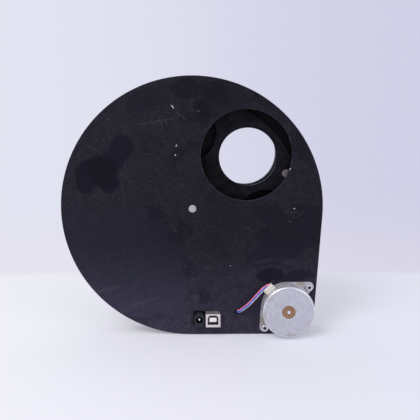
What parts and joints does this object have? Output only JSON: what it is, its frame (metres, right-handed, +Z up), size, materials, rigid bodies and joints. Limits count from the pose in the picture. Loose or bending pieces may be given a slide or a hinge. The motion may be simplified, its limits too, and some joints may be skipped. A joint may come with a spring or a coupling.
{
  "type": "optical filter wheel",
  "caption": "Motorised optical filter wheel: a flat round black housing with offset light ports, a belt-driven wheel of filter cells, a stepper motor, and data and power sockets.",
  "frame": {"origin": "on the light path's axis, in the plane of the camera-side face", "axes": "+Z up with the housing standing on its flat lower edge, +Y along the light path from the camera side to the telescope side, +X to the right seen from the camera side"},
  "size_m": [0.2096, 0.0412, 0.2096],
  "materials": {
    "housing": "matt black anodised",
    "cover": "matt black anodised",
    "wheel": "black anodised",
    "black_screw": "black oxide",
    "bright_steel": "turned steel",
    "cage_brass": "pressed brass",
    "hub_metal": "turned",
    "magnet": "nickel plated magnet",
    "rotor": "magnet ring",
    "belt": "smooth round belt",
    "motor_zinc": "zinc plated, spangled",
    "screw_steel": "bright socket screws",
    "bronze": "sintered bronze",
    "winding": "enamelled winding",
    "pole_iron": "pressed iron",
    "cream_plastic": "nylon",
    "lead_red": "insulation",
    "lead_blue": "insulation",
    "lead_white": "insulation",
    "lead_yellow": "insulation",
    "board": "solder mask",
    "socket_shell": "tinned",
    "white_plastic": "moulded",
    "gold": "gilt contacts",
    "black_plastic": "moulded",
    "pin_metal": "nickel plated",
    "capacitor": "moulded"
  },
  "bodies": {
    "housing": {"rear_housing": "housing", "front_cover": "cover", "cover_screws": "black_screw", "axle": "bright_steel", "axle_screw": "black_screw", "axle_shim": "bright_steel", "bearing_inner_races": "bright_steel", "drive_belt": "belt", "motor_can": "motor_zinc", "motor_flange": "motor_zinc", "motor_screws": "screw_steel", "motor_rear_bush": "bronze", "motor_front_bush": "bronze", "stator_coils": "winding", "stator_poles": "pole_iron", "motor_socket": "cream_plastic", "lead_plug": "cream_plastic", "lead_red": "lead_red", "lead_blue": "lead_blue", "lead_white": "lead_white", "lead_yellow": "lead_yellow", "controller_board": "board", "board_standoffs": "screw_steel", "board_screws": "screw_steel", "usb_shell": "socket_shell", "usb_insulator": "white_plastic", "usb_contacts": "gold", "jack_body": "black_plastic", "jack_pin": "pin_metal", "jack_spring": "pin_metal", "lead_header": "cream_plastic", "board_chips": "black_plastic", "board_capacitors": "capacitor", "board_crystal": "pin_metal", "voltage_regulator": "black_plastic", "hall_sensor": "black_plastic"},
    "wheel": {"filter_wheel": "wheel", "wheel_hub": "hub_metal", "hub_screws": "black_screw", "index_magnet": "magnet", "bearing_outer_races": "bright_steel"},
    "ball_train": {"bearing_balls": "bright_steel", "bearing_cages": "cage_brass"},
    "motor_rotor": {"motor_shaft": "bright_steel", "motor_rotor": "rotor", "drive_pulley": "hub_metal", "pulley_set_screw": "black_screw"}
  },
  "joints": [
    {"name": "wheel_spin", "type": "hinge", "parent": "housing", "child": "wheel", "pos_m": [-0.04289, 0.014, -0.04289], "axis": [0, 1, 0], "continuous": true},
    {"name": "motor_spin", "type": "hinge", "parent": "housing", "child": "motor_rotor", "pos_m": [0.03401, 0, -0.12436], "axis": [0, 1, 0], "continuous": true},
    {"name": "ball_spin", "type": "hinge", "parent": "housing", "child": "ball_train", "pos_m": [-0.04289, 0.013, -0.04289], "axis": [0, 1, 0], "continuous": true}
  ],
  "couplings": [
    {"joint": "motor_spin", "follows": "wheel_spin", "ratio": 5},
    {"joint": "ball_spin", "follows": "wheel_spin", "ratio": 0.607}
  ]
}
